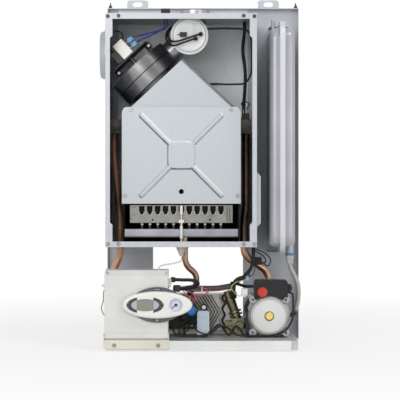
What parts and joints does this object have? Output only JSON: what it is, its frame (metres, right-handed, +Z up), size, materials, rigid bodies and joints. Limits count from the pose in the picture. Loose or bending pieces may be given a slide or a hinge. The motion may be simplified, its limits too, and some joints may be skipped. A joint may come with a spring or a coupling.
{
  "type": "gas boiler",
  "caption": "Wall-hung gas boiler without its front cover: sealed chamber with fan, burner and exchanger, pump and pipework below, and a control box that tilts forward.",
  "frame": {"origin": "on the wall plane, midway between the two hanging slots", "axes": "+X to the right seen from the front, +Y into the wall, +Z up"},
  "size_m": [0.405, 0.239, 0.711],
  "materials": {
    "galvanised": "galvanised sheet",
    "chamber_steel": "pale zinc-coated sheet",
    "white_rail": "white powder coat",
    "beige_strip": "beige coat",
    "stack_steel": "aluminised sheet",
    "dark_steel": "dark grey coat",
    "screw_steel": "zinc plated",
    "fan_alloy": "pressed sheet",
    "lamination": "stacked laminations",
    "coil": "taped winding",
    "switch_plastic": "pale plastic",
    "black_tube": "silicone",
    "copper": "bare copper",
    "brass": "turned",
    "fibre": "ceramic fibre board",
    "electrode": "white ceramic",
    "grommet": "beige rubber",
    "vessel_paint": "grey paint",
    "hose": "rubber",
    "cast_iron": "painted casting",
    "motor_alloy": "cast alloy",
    "black_plastic": "moulded",
    "red_plastic": "moulded",
    "blue_plastic": "moulded",
    "grey_plastic": "moulded",
    "box_plastic": "moulded",
    "dark_plastic": "moulded",
    "white_plastic": "moulded",
    "display": "lens",
    "dial": "printed dial",
    "board": "circuit board",
    "wire": "insulated wire"
  },
  "bodies": {
    "chassis": {"back_frame": "galvanised", "bottom_tray": "galvanised", "front_rail": "white_rail", "hinge_strip": "beige_strip", "chamber_left": "chamber_steel", "chamber_right": "chamber_steel", "chamber_top": "chamber_steel", "chamber_floor": "chamber_steel", "case_screws": "screw_steel", "side_blanking_cap": "chamber_steel", "flue_outlet": "fan_alloy", "fan_lower_shell": "fan_alloy", "fan_upper_shell": "fan_alloy", "fan_motor": "lamination", "fan_coil": "coil", "pressure_switch": "switch_plastic", "pressure_tubes": "black_tube", "flue_hood": "stack_steel", "combustion_panel": "stack_steel", "combustion_box": "stack_steel", "fibre_lining": "fibre", "heat_exchanger": "copper", "burner_blades": "dark_steel", "burner_front_plate": "stack_steel", "gas_manifold": "fan_alloy", "ignition_electrode": "electrode", "flow_pipe": "copper", "return_pipe": "copper", "gas_pipe": "copper", "pipe_grommets": "grommet", "expansion_vessel": "vessel_paint", "vessel_hose": "hose", "pump_volute": "cast_iron", "pump_motor": "motor_alloy", "pump_terminal_box": "black_plastic", "pump_vent_plug": "brass", "plate_exchanger": "stack_steel", "hydraulic_block": "brass", "diverter_motor": "grey_plastic", "gas_valve": "black_plastic", "gas_valve_cap": "blue_plastic", "connection_tails": "brass", "wiring_loom": "wire"},
    "control_unit": {"control_box": "box_plastic", "control_box_back": "box_plastic", "control_board": "board", "panel_base": "dark_plastic", "panel_bezel": "white_plastic", "lcd_screen": "display", "gauge_case": "dial", "control_loom": "wire"},
    "fan_impeller_body": {"fan_impeller": "fan_alloy"},
    "pump_rotor_body": {"pump_rotor": "screw_steel"},
    "pump_speed_knob_body": {"pump_speed_knob": "red_plastic"},
    "relief_knob_body": {"relief_knob": "black_plastic"},
    "gauge_needle_body": {"gauge_needle": "black_plastic"},
    "heating_rocker_body": {"heating_rocker": "dark_plastic"},
    "water_rocker_body": {"water_rocker": "dark_plastic"},
    "mode_button_body": {"mode_button": "white_plastic"},
    "reset_button_body": {"reset_button": "white_plastic"}
  },
  "joints": [
    {"name": "control_box_tilt", "type": "hinge", "parent": "chassis", "child": "control_unit", "pos_m": [-0.13075, -0.2195, -0.676], "axis": [1, 0, 0], "range_deg": [0, 85], "deforming": ["control_loom"]},
    {"name": "fan_spin", "type": "hinge", "parent": "chassis", "child": "fan_impeller_body", "pos_m": [-0.11739, -0.1055, -0.15358], "axis": [-0.6813, 0, 0.732], "continuous": true},
    {"name": "pump_spin", "type": "hinge", "parent": "chassis", "child": "pump_rotor_body", "pos_m": [0.1325, -0.11, -0.641], "axis": [0, 1, 0], "continuous": true},
    {"name": "pump_speed_turn", "type": "hinge", "parent": "chassis", "child": "pump_speed_knob_body", "pos_m": [0.1185, -0.163, -0.593], "axis": [0, 1, 0], "range_deg": [0, 90]},
    {"name": "relief_turn", "type": "hinge", "parent": "chassis", "child": "relief_knob_body", "pos_m": [0.071, -0.118, -0.653], "axis": [-0.3584, 0, 0.9336], "range_deg": [0, 90]},
    {"name": "gauge_needle_turn", "type": "hinge", "parent": "control_unit", "child": "gauge_needle_body", "pos_m": [-0.05275, -0.2365, -0.613], "axis": [0, 1, 0], "range_deg": [0, 270]},
    {"name": "heating_rocker_tilt", "type": "hinge", "parent": "control_unit", "child": "heating_rocker_body", "pos_m": [-0.143, -0.2342, -0.613], "axis": [1, 0, 0], "range_deg": [-2.5, 2.5], "stiffness_Nm_per_rad": 0.2},
    {"name": "water_rocker_tilt", "type": "hinge", "parent": "control_unit", "child": "water_rocker_body", "pos_m": [-0.0845, -0.2342, -0.613], "axis": [1, 0, 0], "range_deg": [-2.5, 2.5], "stiffness_Nm_per_rad": 0.2},
    {"name": "mode_press", "type": "slide", "parent": "control_unit", "child": "mode_button_body", "axis": [0, 1, 0], "range_m": [0, 0.0012], "stiffness_N_per_m": 800},
    {"name": "reset_press", "type": "slide", "parent": "control_unit", "child": "reset_button_body", "axis": [0, 1, 0], "range_m": [0, 0.0012], "stiffness_N_per_m": 800}
  ]
}
